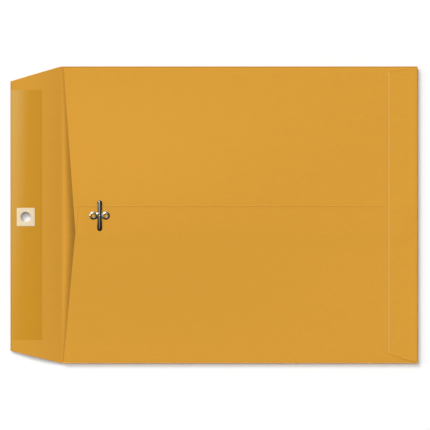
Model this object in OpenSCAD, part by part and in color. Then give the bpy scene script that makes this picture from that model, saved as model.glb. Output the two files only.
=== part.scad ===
// Clasp envelope: a folded kraft paper pocket with a gummed flap, a reinforced eyelet and a two-prong metal clasp.
// It lies on its front with the flap open: +X runs from the flap to the bottom, +Z points out of the clasp side.
// The origin is the middle of the front panel's outer face.
// Left and right are as seen from the clasp side with the flap up, so right is +Y.

/* [Paper body] */
// Width of the body, from side fold to side fold
body_w = 254; // [200:1:330]
// Length of the body, from the flap's shoulders to the bottom fold
body_l = 305.7; // [240:0.1:420]
// Distance from the flap's shoulders in to its crease
crease_in = 1.8; // [0:0.1:2]
// Thickness of the kraft paper
paper_t = 0.2; // [0.14:0.01:0.3]
// Clear height inside the side folds
fold_gap = 1.6; // [0.2:0.05:2.2]
// Rise of the back above its side folds, at the middle of the mouth
puff = 4.4; // [3:0.1:9]
// Length from the shoulders over which the back keeps its full rise
puff_l = 61; // [50:1:90]

/* [Back seam and mouth] */
// Distance from the centre line to the seam edge that shows
seam_y = 7.7; // [5:0.1:12]
// Width over which the two back panels lap
lap_w = 25.4; // [20:0.1:36]
// Width over which the lapping paper climbs onto the layer below
climb_w = 8; // [4:0.5:14]
// Depth of the mouth at the side folds
mouth_side = 2.1; // [2.1:0.1:4]
// Depth of the mouth at the seam edge of the panel on top
mouth_over = 14.8; // [6:0.1:18]
// Depth of the mouth at the hidden edge of the panel below
mouth_under = 12.8; // [6:0.1:18]

/* [Bottom flap] */
// Depth of the bottom flap
bottom_d = 25.4; // [18:0.1:40]
// How far the left end of the bottom flap tapers in
bottom_taper_left = 9.2; // [2:0.1:15]
// How far the right end of the bottom flap tapers in
bottom_taper_right = 4; // [2:0.1:15]
// Length over which the bottom flap settles from its fold onto the back
settle_l = 8; // [4:0.5:12]

/* [Closing flap] */
// Depth of the closing flap, from its shoulders
flap_d = 43.1; // [43:0.1:70]
// How far the flap's left end tapers in
flap_taper_left = 10.7; // [0:0.1:30]
// How far the flap's right end tapers in
flap_taper_right = 12.7; // [0:0.1:30]
// Width of the gum strip along the flap's edge
gum_w = 26.7; // [23:0.1:30]
// Length of the gum strip
gum_l = 214; // [60:1:216]
// Thickness of a dry gum film
gum_t = 0.05; // [0.02:0.01:0.1]
// Margin from the edge of the paper to its gum
gum_margin = 0.4; // [0.2:0.1:1]
// Side of the square eyelet patch
patch_w = 15.6; // [13:0.1:17]
// Thickness of the eyelet patch
patch_t = 0.25; // [0.15:0.01:0.4]
// Diameter of the eyelet hole
eyelet_d = 8.8; // [8:0.1:10]
// Distance of the eyelet from the centre line
eyelet_y = -1.9; // [-3:0.1:3]

/* [Clasp] */
// Distance from the crease to the clasp, and from the crease to the eyelet
clasp_reach = 31.7; // [30:0.1:32.5]
// Distance of the clasp from the centre line
clasp_y = -0.7; // [-3:0.1:3]
// Thickness of the tinplate
tin_t = 0.35; // [0.25:0.01:0.45]
// Distance between the centres of the two eyes
eye_spacing = 10.8; // [10.8:0.1:13]
// Outer diameter of an eye's rolled rim
eye_d = 7; // [6:0.1:8.4]
// Diameter of the hole through an eye
eye_hole_d = 3; // [2.6:0.1:4.2]
// Outer diameter of an eye's clinched flange, inside the pocket
clinch_d = 6; // [5.6:0.1:8]
// Width of the bridge between the eyes
bridge_w = 3.4; // [2.8:0.1:4.2]
// Distance from the middle of the clasp to a prong's tip
prong_l = 13.1; // [9:0.1:17]
// Distance from the middle of the clasp to a prong's bend
bend_y = 1.4; // [1.2:0.1:1.8]
// Width of a prong at its bend
prong_root_w = 3.5; // [2.8:0.1:4.4]
// Width of a prong at its tip
prong_tip_w = 4.3; // [3.2:0.1:4.6]
// Height of a prong's dome over its widest chord
prong_crown = 0.8; // [0.4:0.02:0.9]
// Radius of the bend at a prong's root
bend_r = 0.35; // [0.28:0.01:0.4]
// Depth of the bend's axis below a prong's crown
bend_depth = 0.6; // [0.5:0.02:0.7]
// Height of a prong's edges above the paper while it lies flat
prong_lift = 0.2; // [0.15:0.01:0.5]

/* [Clearances] */
// Gap between papers, gum and metal that lie on each other
layer_gap = 0.02; // [0.01:0.01:0.04]
// Slit at the crease between the flap and the front panel
crease_gap = 0.2; // [0.1:0.05:0.4]
// Gap round an eye's barrel in the paper
barrel_gap = 0.1; // [0.05:0.05:0.2]
// Gap between a prong's root and the saddle, over the whole bend
bend_gap = 0.1; // [0.06:0.02:0.2]
// Gap between the gum and the patch's edge
patch_gap = 0.3; // [0.2:0.1:0.6]

/* [Hidden] */
$fn = 96;

KRAFT = "#d89c3a";
GUM = "#c9902d";
PATCH = "#ebdab4";
TIN = "#b4b2ad";

// Places along the length, from the shoulders at 0
x_shoulder = -body_l / 2;
puff_end = body_l - bottom_d;
clasp_s = crease_in + clasp_reach;
eyelet_s = crease_in - clasp_reach;

// Heights of the paper layers, from the front panel's outer face up
back_z = paper_t + fold_gap;
lap_lift = paper_t + gum_t + 2 * layer_gap;
settled_z = back_z + paper_t + gum_t + 2 * layer_gap;
bottom_fold_r = (settled_z + lap_lift + paper_t) / 2;
side_fold_r = (back_z + paper_t) / 2;
clasp_z = back_z + puff + lap_lift + paper_t + layer_gap;
stack_t = lap_lift + paper_t + 2 * layer_gap;

// Edges across the width
side_y = body_w / 2 - side_fold_r;
lap_low_y = seam_y - lap_w;
gum_inset = lap_w / 9;
lap_lines = [
    lap_low_y, lap_low_y + gum_inset, lap_low_y + lap_w / 2, seam_y - gum_inset, seam_y
];

// Start of the front panel, past the crease, and end of the back panels, inside the bottom fold
body_start = crease_in + crease_gap / 2;
panel_end = body_l - bottom_fold_r - paper_t;

// Axis that the flap turns about: half way up the closed thickness of the mouth
hinge_z = (clasp_z + paper_t) / 2 + layer_gap;
echo(hinge_x = x_shoulder + crease_in, hinge_z = hinge_z, clasp_z = clasp_z);
echo(eyelet_x = x_shoulder + eyelet_s, clasp_x = x_shoulder + clasp_s);

// Eye and prong sections
bead_r = (eye_d - eye_hole_d) / 4;
bead_at = (eye_d + eye_hole_d) / 4;
barrel_r = eye_hole_d / 2 + tin_t;
dome_r = (pow(prong_tip_w / 2, 2) + pow(prong_crown, 2)) / (2 * prong_crown);
crown_z = prong_lift + dome_r - sqrt(pow(dome_r - tin_t, 2) - pow(prong_tip_w / 2, 2));
bend_z = crown_z - bend_depth;
echo(bend_right_y = clasp_y + bend_y, bend_left_y = clasp_y - bend_y, bend_z = clasp_z + bend_z);

// Grid density of the bent sheets
across_steps = 9;
along_steps = 11;
arc_step = 15;

function clamp01(u) = min(1, max(0, u));
function mix(a, b, u) = a + (b - a) * u;
function ease(u) = (1 - cos(180 * clamp01(u))) / 2;

// Share of the full rise at a distance s from the shoulders and y from the centre line
function rise_along(s) = 1 - ease((s - puff_l) / (puff_end - puff_l));
function rise_across(y) = 1 - ease(abs(y) / side_y);
function back_at(s, y) = back_z + puff * rise_along(s) * rise_across(y);

// Share of the lap's lift: full on the lap, with a ramp on the open side of each paper edge
function climb_left(y) = clamp01((y - lap_low_y + climb_w) / climb_w);
function climb_right(y) = clamp01((seam_y + climb_w - y) / climb_w);

// Depth of the mouth on a straight edge from the side fold to a panel's free edge
function mouth_at(y, from_y, free_y, free_s) =
    mix(mouth_side, free_s, (y - from_y) / (free_y - from_y));

// Stations that all the back's layers share, past the mouth
mouth_station = max(mouth_over, mouth_under) + 4;
stations = concat(
    [mouth_station],
    [for (i = [0 : along_steps]) mix(puff_l, puff_end, i / along_steps)],
    [panel_end]
);

// Turns the things in it from lengths along the envelope to their place in the frame
module along(s = 0) {
    translate([x_shoulder + s, 0, 0]) children();
}

// A bent sheet: rows of points on its underside, all of one length, and a thickness above them
module bent_sheet(rows, thickness) {
    columns = len(rows[0]);
    under = [for (row = rows) for (p = row) p];
    over = [for (p = under) p + [0, 0, thickness]];
    count = len(under);
    function at(i, j) = i * columns + j;
    last_row = len(rows) - 1;
    last_column = columns - 1;
    rim = concat(
        [for (j = [0 : 1 : last_column - 1]) at(0, j)],
        [for (i = [0 : 1 : last_row - 1]) at(i, last_column)],
        [for (j = [last_column : -1 : 1]) at(last_row, j)],
        [for (i = [last_row : -1 : 1]) at(i, 0)]
    );
    cells = [for (i = [0 : last_row - 1]) for (j = [0 : last_column - 1]) [i, j]];
    faces = concat(
        [for (c = cells) [at(c[0], c[1]), at(c[0] + 1, c[1]), at(c[0] + 1, c[1] + 1)]],
        [for (c = cells) [at(c[0], c[1]), at(c[0] + 1, c[1] + 1), at(c[0], c[1] + 1)]],
        [for (c = cells) count * [1, 1, 1] + [at(c[0] + 1, c[1] + 1), at(c[0] + 1, c[1]), at(c[0], c[1])]],
        [for (c = cells) count * [1, 1, 1] + [at(c[0], c[1] + 1), at(c[0] + 1, c[1] + 1), at(c[0], c[1])]],
        [for (k = [0 : len(rim) - 1]) [rim[k], rim[(k + 1) % len(rim)], rim[k] + count]],
        [for (k = [0 : len(rim) - 1])
            [rim[(k + 1) % len(rim)], rim[(k + 1) % len(rim)] + count, rim[k] + count]]
    );
    polyhedron(points = concat(under, over), faces = faces, convexity = 6);
}

// Half a paper tube, open towards -X: the bend of a fold, from z = 0 up to its outer diameter
module fold_bend(outer_r, length) {
    translate([0, length / 2, outer_r])
        rotate([90, 0, 0])
            linear_extrude(length)
                difference() {
                    circle(outer_r);
                    circle(outer_r - paper_t);
                    translate([-outer_r - 1, -outer_r - 1])
                        square([outer_r + 1, 2 * outer_r + 2]);
                }
}

// Middle of the clasp, along the envelope and across it
module at_clasp() {
    along(clasp_s) translate([0, clasp_y, 0]) children();
}

// Both eyes' places
module at_eyes() {
    for (side = [-1, 1])
        at_clasp() translate([side * eye_spacing / 2, 0, 0]) children();
}

// Holes that the eyes' barrels pass through
module barrel_holes() {
    at_eyes()
        translate([0, 0, clasp_z - 2 * stack_t])
            cylinder(r = barrel_r + barrel_gap, h = 3 * stack_t);
}

// Front of the envelope, between its side folds
module front_panel() {
    color(KRAFT)
        along(body_start)
            translate([0, -side_y, 0])
                cube([body_l - bottom_fold_r - body_start, 2 * side_y, paper_t]);
}

// Bend of a side fold, along the whole body; side is 1 on the right and -1 on the left
module side_fold(side) {
    fold_l = body_l - bottom_fold_r - body_start;
    color(KRAFT)
        along(body_start + fold_l / 2)
            translate([0, side * side_y, 0])
                rotate([0, 0, side * 90])
                    fold_bend(side_fold_r, fold_l);
}

module right_side_fold() {
    side_fold(1);
}

module left_side_fold() {
    side_fold(-1);
}

// Bend between the front panel and the bottom flap
module bottom_fold() {
    color(KRAFT)
        along(body_l - bottom_fold_r)
            fold_bend(bottom_fold_r, 2 * side_y);
}

// Right half of the back, which runs under the lap
module under_back_panel() {
    lines = concat(
        [for (i = [0 : across_steps - 1]) mix(side_y, seam_y, i / across_steps)],
        [for (k = [4 : -1 : 0]) lap_lines[k]]
    );
    rows = [
        for (y = lines) [
            for (s = concat([mouth_at(y, side_y, lap_low_y, mouth_under)], stations))
                [x_shoulder + s, y, back_at(s, y)]
        ]
    ];
    color(KRAFT)
        difference() {
            bent_sheet(rows, paper_t);
            barrel_holes();
        }
}

// Left half of the back, which climbs onto the lap and shows its edge there
module over_back_panel() {
    climb_y = lap_low_y - climb_w;
    lines = concat(
        [for (i = [0 : across_steps]) mix(-side_y, climb_y, i / across_steps)],
        lap_lines
    );
    rows = [
        for (y = lines) [
            for (s = concat([mouth_at(y, -side_y, seam_y, mouth_over)], stations))
                [x_shoulder + s, y, back_at(s, y) + lap_lift * climb_left(y)]
        ]
    ];
    color(KRAFT)
        difference() {
            bent_sheet(rows, paper_t);
            barrel_holes();
        }
}

// Gum film that joins the two halves of the back along the lap
module seam_gum() {
    gum_stations = [for (s = stations) if (s <= puff_end) s];
    rows = [
        for (y = [lap_lines[1], lap_lines[2], lap_lines[3]]) [
            for (s = gum_stations)
                [x_shoulder + s, y, back_at(s, y) + paper_t + layer_gap]
        ]
    ];
    color(GUM)
        difference() {
            bent_sheet(rows, gum_t);
            barrel_holes();
        }
}

// Underside of the bottom flap: level with the lap at its fold, then down onto the back
function bottom_flap_at(s, y) =
    settled_z + lap_lift * max(
        min(climb_left(y), climb_right(y)),
        1 - clamp01((body_l - bottom_fold_r - s) / settle_l)
    );

// Ends of the bottom flap across the width, which taper in from the fold
function bottom_end(s, taper) =
    mix(side_y, body_w / 2 - taper, clamp01((body_l - bottom_fold_r - s) / (bottom_d - bottom_fold_r)));

// Rows of points under the bottom flap, drawn in from its ends by a margin and moved by a drop
function bottom_flap_rows(flap_stations, margin, drop) = [
    for (s = flap_stations) [
        for (y = [
            margin - bottom_end(s, bottom_taper_left),
            lap_low_y - climb_w, lap_low_y, seam_y, seam_y + climb_w,
            bottom_end(s, bottom_taper_right) - margin
        ])
            [x_shoulder + s, y, bottom_flap_at(s, y) - drop]
    ]
];

// Flap that closes the bottom, glued over the back
module bottom_flap() {
    fold_s = body_l - bottom_fold_r;
    color(KRAFT)
        bent_sheet(bottom_flap_rows([fold_s, fold_s - settle_l, puff_end], 0, 0), paper_t);
}

// Gum film under the bottom flap
module bottom_gum() {
    margin = 3 * gum_margin;
    color(GUM)
        bent_sheet(
            bottom_flap_rows(
                [body_l - bottom_fold_r - settle_l, puff_end + margin], margin, gum_t + layer_gap
            ),
            gum_t
        );
}

// Outline of the flap: straight from the crease to its shoulders, then tapering to its edge
module flap_outline() {
    half_w = body_w / 2;
    polygon([
        [crease_in - crease_gap / 2, half_w], [crease_in - crease_gap / 2, -half_w], [0, -half_w],
        [-flap_d, flap_taper_left - half_w], [-flap_d, half_w - flap_taper_right], [0, half_w]
    ]);
}

// Eyelet hole, right through the flap and its patch
module eyelet_hole() {
    translate([eyelet_s, eyelet_y, -paper_t])
        cylinder(d = eyelet_d, h = 3 * paper_t + patch_t);
}

// Closing flap, open and level with the front panel
module closing_flap() {
    color(KRAFT)
        along()
            difference() {
                linear_extrude(paper_t) flap_outline();
                eyelet_hole();
            }
}

// Gum strip along the flap's edge, left bare round the patch
module flap_gum() {
    notch = patch_w + 2 * patch_gap;
    color(GUM)
        along()
            translate([0, 0, paper_t + layer_gap])
                difference() {
                    translate([gum_margin - flap_d, -gum_l / 2, 0])
                        cube([gum_w, gum_l, gum_t]);
                    translate([eyelet_s - notch / 2, eyelet_y - notch / 2, -gum_t])
                        cube([notch, notch, 3 * gum_t]);
                }
}

// Square patch that stiffens the paper round the eyelet hole
module eyelet_patch() {
    color(PATCH)
        along()
            difference() {
                translate([eyelet_s - patch_w / 2, eyelet_y - patch_w / 2, paper_t + layer_gap])
                    cube([patch_w, patch_w, patch_t]);
                eyelet_hole();
            }
}

// Section of an eye: a rolled rim on the paper, a barrel through it and a flange clinched behind it
module eye_section() {
    behind = -stack_t - layer_gap;
    inner_r = bead_r - tin_t;
    polygon(concat(
        [for (a = [0 : arc_step : 180]) [bead_at + bead_r * cos(a), bead_r * sin(a)]],
        [
            [eye_hole_d / 2, behind - tin_t], [clinch_d / 2, behind - tin_t],
            [clinch_d / 2, behind], [barrel_r, behind]
        ],
        [for (a = [180 : -arc_step : 0]) [bead_at + inner_r * cos(a), inner_r * sin(a)]]
    ));
}

// Cylinder along Y whose top line is the crown of the prongs' dome, thinned by a depth
module dome(depth = 0) {
    translate([0, 0, crown_z - dome_r])
        rotate([90, 0, 0])
            cylinder(r = dome_r - depth, h = 4 * prong_l, center = true, $fn = 180);
}

// Bridge between the eyes, waisted in the middle
module bridge() {
    reach = eye_spacing / 2 - bead_at;
    half_w = bridge_w / 2;
    waist = half_w * 0.9;
    linear_extrude(tin_t)
        polygon([
            [-reach, -half_w], [0, -waist], [reach, -half_w],
            [reach, half_w], [0, waist], [-reach, half_w]
        ]);
}

// Domed middle of the clasp, between the two bends
module saddle() {
    half_l = bend_y - bend_depth - bend_gap;
    intersection() {
        translate([-prong_root_w / 2, -half_l, tin_t / 2])
            cube([prong_root_w, 2 * half_l, crown_z]);
        dome();
    }
}

// Stamped base of the clasp, clinched through the lap by its two eyes
module clasp_base() {
    color(TIN)
        translate([0, 0, clasp_z]) {
            at_eyes() rotate_extrude() eye_section();
            at_clasp() {
                bridge();
                saddle();
            }
        }
}

// Plan of a prong, from its bend to its round tip
module prong_outline() {
    tip_r = prong_tip_w / 2;
    tip_y = prong_l - tip_r;
    polygon(concat(
        [[-prong_root_w / 2, bend_y], [prong_root_w / 2, bend_y]],
        [for (a = [0 : arc_step : 180]) [tip_r * cos(a), tip_y + tip_r * sin(a)]]
    ));
}

// Domed prong that lies flat towards +Y and turns up about its rolled root
module prong() {
    intersection() {
        linear_extrude(2 * crown_z) prong_outline();
        difference() {
            dome();
            dome(tin_t);
        }
    }
    translate([0, bend_y, bend_z])
        rotate([0, 90, 0])
            cylinder(r = bend_r, h = 0.6 * prong_root_w, center = true);
}

module right_prong() {
    color(TIN)
        at_clasp() translate([0, 0, clasp_z]) prong();
}

module left_prong() {
    color(TIN)
        at_clasp() translate([0, 0, clasp_z]) rotate([0, 0, 180]) prong();
}

front_panel();
right_side_fold();
left_side_fold();
bottom_fold();
under_back_panel();
over_back_panel();
bottom_flap();
seam_gum();
bottom_gum();
closing_flap();
flap_gum();
eyelet_patch();
clasp_base();
right_prong();
left_prong();
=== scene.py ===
"""Looks of a clasp envelope: a folded kraft blank, a gummed flap with a patched eyelet and a tinplate clasp.

Lengths along the envelope are called s and run from the flap's shoulders, the flap being at negative s.
Sizes in the classes are millimetres; meshes are in metres. NEAR is the millimetres within which two places
are taken to be one, and MERGE the metres within which points are merged.
"""

from __future__ import annotations

import logging
import math
from dataclasses import dataclass
from enum import Enum
from typing import Any, Callable, Optional, Sequence, Union

import bmesh
import bpy
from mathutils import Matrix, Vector, noise


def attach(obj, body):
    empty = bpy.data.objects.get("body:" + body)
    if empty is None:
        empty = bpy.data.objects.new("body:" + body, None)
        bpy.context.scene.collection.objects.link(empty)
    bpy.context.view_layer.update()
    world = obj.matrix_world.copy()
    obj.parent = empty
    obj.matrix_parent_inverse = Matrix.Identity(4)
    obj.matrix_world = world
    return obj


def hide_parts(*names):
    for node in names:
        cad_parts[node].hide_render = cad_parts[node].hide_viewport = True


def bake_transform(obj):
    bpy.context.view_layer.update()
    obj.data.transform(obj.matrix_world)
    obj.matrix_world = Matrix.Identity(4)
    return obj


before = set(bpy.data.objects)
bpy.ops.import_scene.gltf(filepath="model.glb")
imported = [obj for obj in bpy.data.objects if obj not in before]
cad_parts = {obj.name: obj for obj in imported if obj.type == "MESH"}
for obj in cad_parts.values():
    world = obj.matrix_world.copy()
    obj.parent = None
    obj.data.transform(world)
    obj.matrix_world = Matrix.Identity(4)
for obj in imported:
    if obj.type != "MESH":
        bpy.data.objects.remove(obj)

MM = 0.001
SHOULDER_X = -152.85
NEAR = 0.001
MERGE = 1e-7
ALONG = Vector((1, 0, 0))
ACROSS = Vector((0, 1, 0))
UPWARDS = Vector((0, 0, 1))
CURL_SHARES = (0.2, 0.45, 0.7, 1.0)
FLAT_PLACE = "flat_place"
LOG = logging.getLogger("envelope")

Colour = tuple[float, float, float]
Point = tuple[float, float]
Test = Callable[[Vector], bool]


class Side(Enum):
    """Which side of a cutting plane is thrown away."""

    NONE = "none"
    AHEAD = "ahead"
    BEHIND = "behind"


class Body(Enum):
    """Bodies of the part that pieces ride on."""

    ENVELOPE = "envelope"
    FLAP = "flap"
    RIGHT_PRONG = "right_prong"
    LEFT_PRONG = "left_prong"


class Slot(Enum):
    """Material slots of the part's record."""

    KRAFT = "kraft"
    GUM = "gum"
    PATCH = "patch"
    TINPLATE = "tinplate"


def at(s: float, y: float, z: float = 0.0) -> Vector:
    """Place in the frame of a point given along the envelope.

    Args:
        s: Distance from the flap's shoulders, in millimetres.
        y: Distance from the centre line, in millimetres.
        z: Height over the table, in millimetres.

    Returns:
        The point in metres.
    """
    return Vector(((SHOULDER_X + s) * MM, y * MM, z * MM))


def along(place: Vector) -> tuple[float, float]:
    """Lengths s and y, in millimetres, of a point of the frame."""
    return place.x / MM - SHOULDER_X, place.y / MM


def everywhere(place: Vector) -> bool:
    """A test that every point passes."""
    return True


def clamp(value: float) -> float:
    """The value, held between 0 and 1."""
    return min(1.0, max(0.0, value))


def ease(value: float) -> float:
    """Half a cosine wave from 0 to 1."""
    return (1 - math.cos(math.pi * clamp(value))) / 2


def between(value: float, limits: Point) -> float:
    """Eased share of the way from the first limit to the second."""
    return ease((value - limits[0]) / (limits[1] - limits[0]))


def linear(red: int, green: int, blue: int) -> Colour:
    """Linear light values of a colour given in screen values from 0 to 255."""

    def channel(value: int) -> float:
        """Linear value of one channel."""
        share = value / 255
        return share / 12.92 if share <= 0.04045 else ((share + 0.055) / 1.055) ** 2.4

    return channel(red), channel(green), channel(blue)


class Bench:
    """Modelling moves on one piece at a time, with places and sizes in metres."""

    @staticmethod
    def clear() -> None:
        """Deselects everything, ready for a new primitive."""
        bpy.ops.object.select_all(action="DESELECT")

    @staticmethod
    def take(piece: bpy.types.Object) -> None:
        """Selects one piece and nothing else."""
        Bench.clear()
        piece.select_set(True)
        bpy.context.view_layer.objects.active = piece

    @staticmethod
    def start(name: str) -> bpy.types.Object:
        """Names the primitive that was just added and sets its place into its mesh."""
        piece = bpy.context.object
        piece.name = name
        piece.data.name = name
        bpy.ops.object.transform_apply(location=True, rotation=True, scale=True)
        return piece

    @staticmethod
    def pick(piece: bpy.types.Object, test: Test) -> None:
        """Goes into edit mode and selects the points that pass a test, with the edges and faces between them.

        Args:
            piece: The piece to edit.
            test: Says of a point in metres whether it is selected.
        """
        Bench.take(piece)
        bpy.ops.object.mode_set(mode="EDIT")
        bpy.ops.mesh.select_mode(type="VERT")
        mesh = bmesh.from_edit_mesh(piece.data)
        for point in mesh.verts:
            point.select = test(point.co)
        mesh.select_flush_mode()
        bmesh.update_edit_mesh(piece.data)

    @staticmethod
    def pick_faces(piece: bpy.types.Object, test: Test) -> None:
        """Goes into edit mode and selects the faces whose middle passes a test.

        Args:
            piece: The piece to edit.
            test: Says of a face's middle, in metres, whether the face is selected.
        """
        Bench.take(piece)
        bpy.ops.object.mode_set(mode="EDIT")
        bpy.ops.mesh.select_mode(type="FACE")
        mesh = bmesh.from_edit_mesh(piece.data)
        for face in mesh.faces:
            face.select_set(test(face.calc_center_median()))
        bmesh.update_edit_mesh(piece.data)

    @staticmethod
    def done() -> None:
        """Leaves edit mode."""
        bpy.ops.object.mode_set(mode="OBJECT")

    @staticmethod
    def drop(piece: bpy.types.Object, test: Test) -> None:
        """Deletes the faces whose middle passes a test."""
        Bench.pick_faces(piece, test)
        bpy.ops.mesh.delete(type="FACE")
        Bench.done()

    @staticmethod
    def grid(name: str, low: Vector, high: Vector, cell: Point) -> bpy.types.Object:
        """A flat rectangular sheet of cells.

        Args:
            name: Name of the piece.
            low: Corner with the least x and y.
            high: Corner with the most x and y, at the same height.
            cell: Size that a cell has about, along x and y, in millimetres.

        Returns:
            The new piece.
        """
        size = high - low
        Bench.clear()
        bpy.ops.mesh.primitive_grid_add(
            x_subdivisions=max(2, round(size.x / (cell[0] * MM))),
            y_subdivisions=max(2, round(size.y / (cell[1] * MM))),
            size=1.0,
            location=(low + high) / 2,
        )
        bpy.ops.transform.resize(value=(size.x, size.y, 1.0))
        return Bench.start(name)

    @staticmethod
    def cut(
        piece: bpy.types.Object,
        place: Vector,
        normal: Vector,
        drop: Side = Side.NONE,
        within: Test = everywhere,
    ) -> None:
        """Draws an edge where a plane meets the mesh, and can throw one side away.

        Args:
            piece: The piece to cut.
            place: A point of the plane.
            normal: Direction across the plane.
            drop: The side that goes.
            within: Limits the cut to faces whose middle passes this test.
        """
        Bench.pick_faces(piece, within)
        bpy.ops.mesh.bisect(
            plane_co=place,
            plane_no=normal,
            clear_inner=drop is Side.BEHIND,
            clear_outer=drop is Side.AHEAD,
            threshold=MERGE,
        )
        Bench.done()

    @staticmethod
    def trim(piece: bpy.types.Object, start: Point, end: Point, waste: Point) -> None:
        """Cuts a sheet along a straight line seen from above, and throws one side away.

        Args:
            piece: The sheet to trim.
            start: A point of the line, as s and y.
            end: Another point of the line.
            waste: A point on the side that goes.
        """
        first, second, gone = at(*start), at(*end), at(*waste)
        run = second - first
        normal = Vector((run.y, -run.x, 0.0)).normalized()
        if (gone - first).dot(normal) < 0:
            normal.negate()
        Bench.cut(piece, first, normal, Side.AHEAD)

    @staticmethod
    def move(piece: bpy.types.Object, place: Callable[[Vector], Vector]) -> None:
        """Moves every point of a mesh to where a function puts it."""
        for point in piece.data.vertices:
            point.co = place(point.co)
        piece.data.update()

    @staticmethod
    def roll(
        piece: bpy.types.Object, test: Test, centre: Vector, axis: Vector, angle: float, steps: int
    ) -> None:
        """Spins the border that passes a test about an axis, which bends the sheet on.

        Args:
            piece: The piece to bend on.
            test: Picks the points of the border.
            centre: A point of the axis.
            axis: Direction of the axis.
            angle: Angle to spin through, in radians.
            steps: Number of facets of the bend.
        """
        Bench.pick(piece, test)
        bpy.ops.mesh.spin(steps=steps, angle=angle, center=centre, axis=axis)
        Bench.done()

    @staticmethod
    def outwards(piece: bpy.types.Object) -> None:
        """Merges doubled points and turns all faces outwards."""
        Bench.pick(piece, everywhere)
        bpy.ops.mesh.remove_doubles(threshold=MERGE)
        bpy.ops.mesh.normals_make_consistent(inside=False)
        Bench.done()

    @staticmethod
    def face_up(piece: bpy.types.Object, face: bpy.types.MeshPolygon) -> None:
        """Turns all faces of a piece round if the given one looks down."""
        if face.normal.z < 0:
            Bench.pick(piece, everywhere)
            bpy.ops.mesh.flip_normals()
            Bench.done()

    @staticmethod
    def coat(mesh: bpy.types.Mesh, *materials: bpy.types.Material) -> None:
        """Gives a mesh its materials, in the order of its slots."""
        mesh.materials.clear()
        for material in materials:
            mesh.materials.append(material)

    @staticmethod
    def thicken(piece: bpy.types.Object, thickness: float, rim: int = 0, back: int = 0) -> None:
        """Gives a surface a wall behind its faces.

        Args:
            piece: The surface.
            thickness: Thickness of the wall.
            rim: Number of the material slot that the wall's edges take.
            back: Number of the material slot that the wall's other face takes.
        """
        Bench.take(piece)
        wall = piece.modifiers.new("wall", "SOLIDIFY")
        wall.thickness = thickness
        wall.offset = -1.0
        wall.use_even_offset = True
        wall.material_offset_rim = rim
        wall.material_offset = back
        bpy.ops.object.modifier_apply(modifier=wall.name)

    @staticmethod
    def soften(piece: bpy.types.Object, width: float, segments: int, angle: float) -> None:
        """Bevels all edges sharper than an angle.

        Args:
            piece: The piece to bevel.
            width: Width of the bevel.
            segments: Number of its facets.
            angle: Least angle between two faces whose edge is bevelled, in degrees.
        """
        Bench.take(piece)
        bevel = piece.modifiers.new("bevel", "BEVEL")
        bevel.width = width
        bevel.segments = segments
        bevel.limit_method = "ANGLE"
        bevel.angle_limit = math.radians(angle)
        bpy.ops.object.modifier_apply(modifier=bevel.name)

    @staticmethod
    def round_edge(piece: bpy.types.Object, test: Test, width: float, slot: int) -> None:
        """Bevels the edges between the points that pass a test.

        Args:
            piece: The piece to bevel.
            test: Picks both end points of the edges.
            width: Width of the bevel.
            slot: Number of the material slot that the bevel takes.
        """
        Bench.pick(piece, test)
        bpy.ops.mesh.select_mode(type="EDGE")
        bpy.ops.mesh.bevel(offset=width, segments=2, affect="EDGES", material=slot)
        Bench.done()

    @staticmethod
    def pierce(piece: bpy.types.Object, place: Vector, radius: float) -> None:
        """Cuts a round upright hole through a piece.

        Args:
            piece: The piece to pierce.
            place: Middle of the hole.
            radius: Radius of the hole.
        """
        Bench.clear()
        bpy.ops.mesh.primitive_cylinder_add(vertices=64, radius=radius, depth=0.02, location=place)
        punch = Bench.start("punch")
        Bench.take(piece)
        hole = piece.modifiers.new("hole", "BOOLEAN")
        hole.operation = "DIFFERENCE"
        hole.solver = "EXACT"
        hole.object = punch
        bpy.ops.object.modifier_apply(modifier=hole.name)
        bpy.data.objects.remove(punch)

    @staticmethod
    def remember(piece: bpy.types.Object, name: str) -> None:
        """Stores where each point lies as an attribute, so that a pattern stays put on a sheet that bends."""
        places = piece.data.attributes.new(name, "FLOAT_VECTOR", "POINT")
        for point, place in zip(piece.data.vertices, places.data):
            place.vector = point.co

    @staticmethod
    def join(pieces: Sequence[bpy.types.Object], name: str) -> bpy.types.Object:
        """Joins several meshes into one piece and names it."""
        Bench.clear()
        for piece in pieces:
            piece.select_set(True)
        bpy.context.view_layer.objects.active = pieces[0]
        bpy.ops.object.join()
        pieces[0].name = name
        pieces[0].data.name = name
        return pieces[0]

    @staticmethod
    def smooth(piece: bpy.types.Object, angle: float = 35.0) -> None:
        """Shades a piece smooth, but for edges sharper than an angle in degrees."""
        Bench.take(piece)
        bpy.ops.object.shade_smooth_by_angle(angle=math.radians(angle))


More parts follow.
